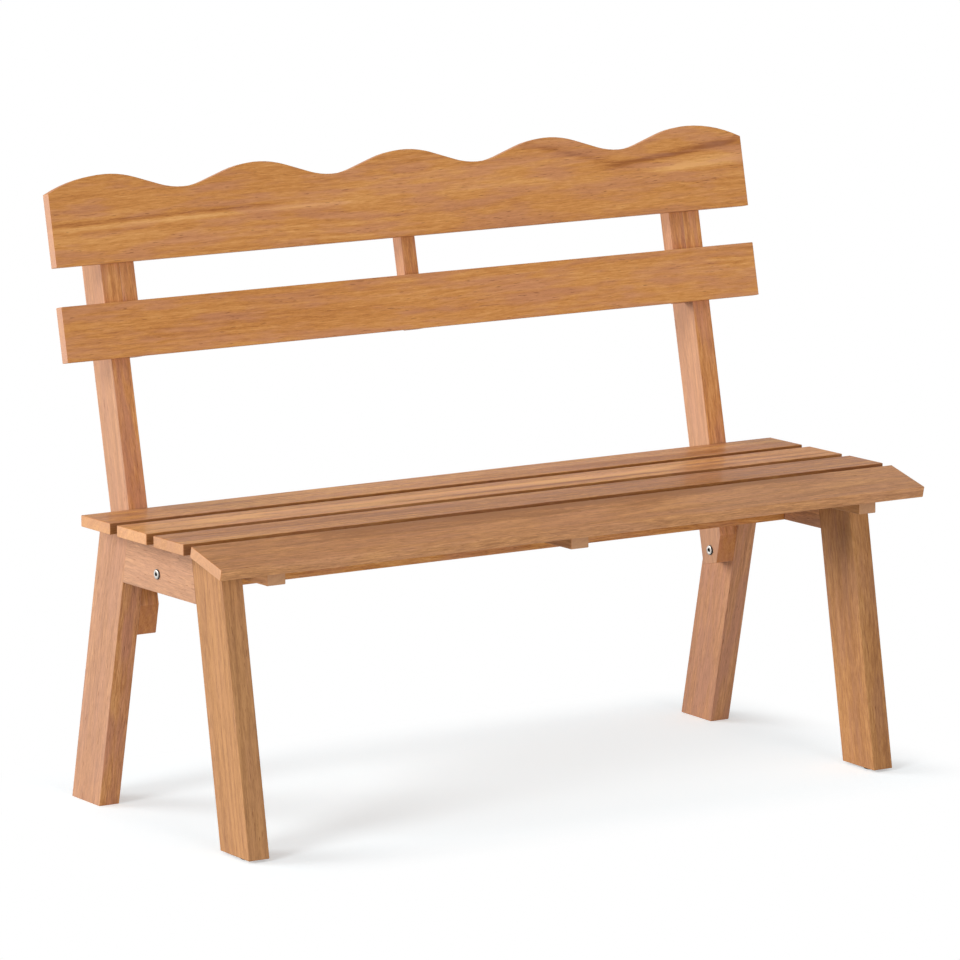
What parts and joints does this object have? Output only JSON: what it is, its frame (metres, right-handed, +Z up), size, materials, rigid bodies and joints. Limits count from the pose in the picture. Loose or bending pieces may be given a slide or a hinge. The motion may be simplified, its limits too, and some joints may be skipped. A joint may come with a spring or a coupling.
{
  "type": "garden bench",
  "caption": "Two-seat wooden garden bench with a slatted seat, splayed legs and a leaning back whose top rail is cut to a row of shallow waves.",
  "frame": {"origin": "middle of the overall box, on the floor", "axes": "+X along the bench to the right of a person facing its front, +Y from the front edge to the back, +Z up"},
  "size_m": [1.2, 0.5552, 0.9157],
  "materials": {
    "hardwood": "oiled, satin, straight grain",
    "pale_wood": "plain turned dowel",
    "plated_steel": "pale zinc plating",
    "black_plastic": "moulded, matt"
  },
  "bodies": {
    "root": {"slat_rear": "hardwood", "slat_mid_rear": "hardwood", "slat_mid_front": "hardwood", "slat_front": "hardwood", "seat_cleat_left": "hardwood", "seat_cleat_centre": "hardwood", "seat_cleat_right": "hardwood", "leg_front_left": "hardwood", "leg_front_right": "hardwood", "leg_rear_left": "hardwood", "leg_rear_right": "hardwood", "apron_left": "hardwood", "apron_right": "hardwood", "stretcher": "hardwood", "back_post_left": "hardwood", "back_post_right": "hardwood", "back_batten_left": "hardwood", "back_batten_centre": "hardwood", "back_batten_right": "hardwood", "lower_rail": "hardwood", "top_rail": "hardwood", "foot_glide_left": "black_plastic", "foot_glide_right": "black_plastic", "stretcher_bolts": "plated_steel", "stretcher_barrel_nuts": "plated_steel", "stretcher_dowels": "pale_wood", "post_bolts": "plated_steel", "seat_bolts": "plated_steel", "back_bolts": "plated_steel", "leg_insert_nuts": "plated_steel", "post_insert_nuts": "plated_steel", "seat_screws": "plated_steel", "back_screws": "plated_steel", "glide_screws": "plated_steel"}
  },
  "joints": []
}
